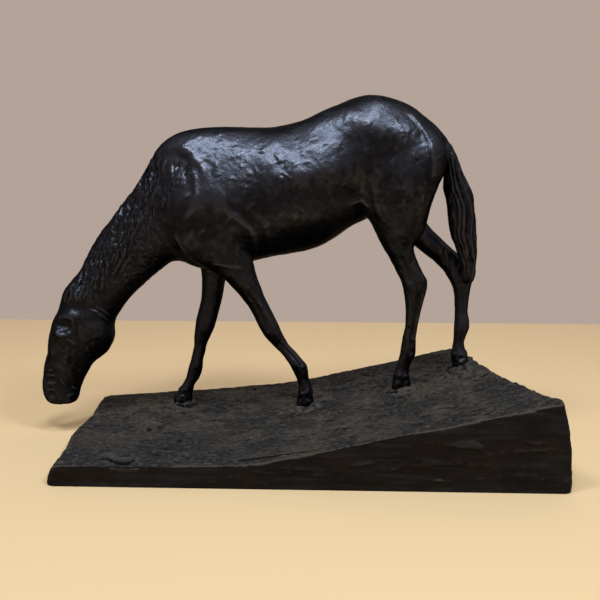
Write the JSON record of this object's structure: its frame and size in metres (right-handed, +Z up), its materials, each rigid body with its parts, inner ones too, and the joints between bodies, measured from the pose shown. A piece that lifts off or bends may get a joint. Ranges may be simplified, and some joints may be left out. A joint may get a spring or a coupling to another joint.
{
  "type": "animal statuette",
  "caption": "Dark bronze statuette of a grazing horse, head lowered in front of a wedge-shaped base of rough ground that rises towards its hind legs.",
  "frame": {"origin": "on the table, under the middle of the whole object's box", "axes": "+Z up; the horse faces -X and its near side faces -Y; the base's front side lies along X"},
  "size_m": [0.3027, 0.14, 0.2038],
  "materials": {
    "base_bronze": "matte, dusty, dark brown with a grey-green cast",
    "horse_bronze": "near-black patina, waxed to a soft gloss",
    "yellow_metal": "bare, machined",
    "zinc_steel": "zinc plated"
  },
  "bodies": {
    "root": {"base_casting": "base_bronze", "body_casting": "horse_bronze", "neck_casting": "horse_bronze", "head_casting": "horse_bronze", "near_fore_leg": "horse_bronze", "far_fore_leg": "horse_bronze", "near_hind_leg": "horse_bronze", "far_hind_leg": "horse_bronze", "tail_casting": "horse_bronze", "hoof_studs": "yellow_metal", "stud_washers": "zinc_steel", "stud_nuts": "zinc_steel", "leg_dowels": "yellow_metal", "neck_dowels": "yellow_metal", "head_dowel": "yellow_metal", "tail_dowel": "yellow_metal"}
  },
  "joints": []
}
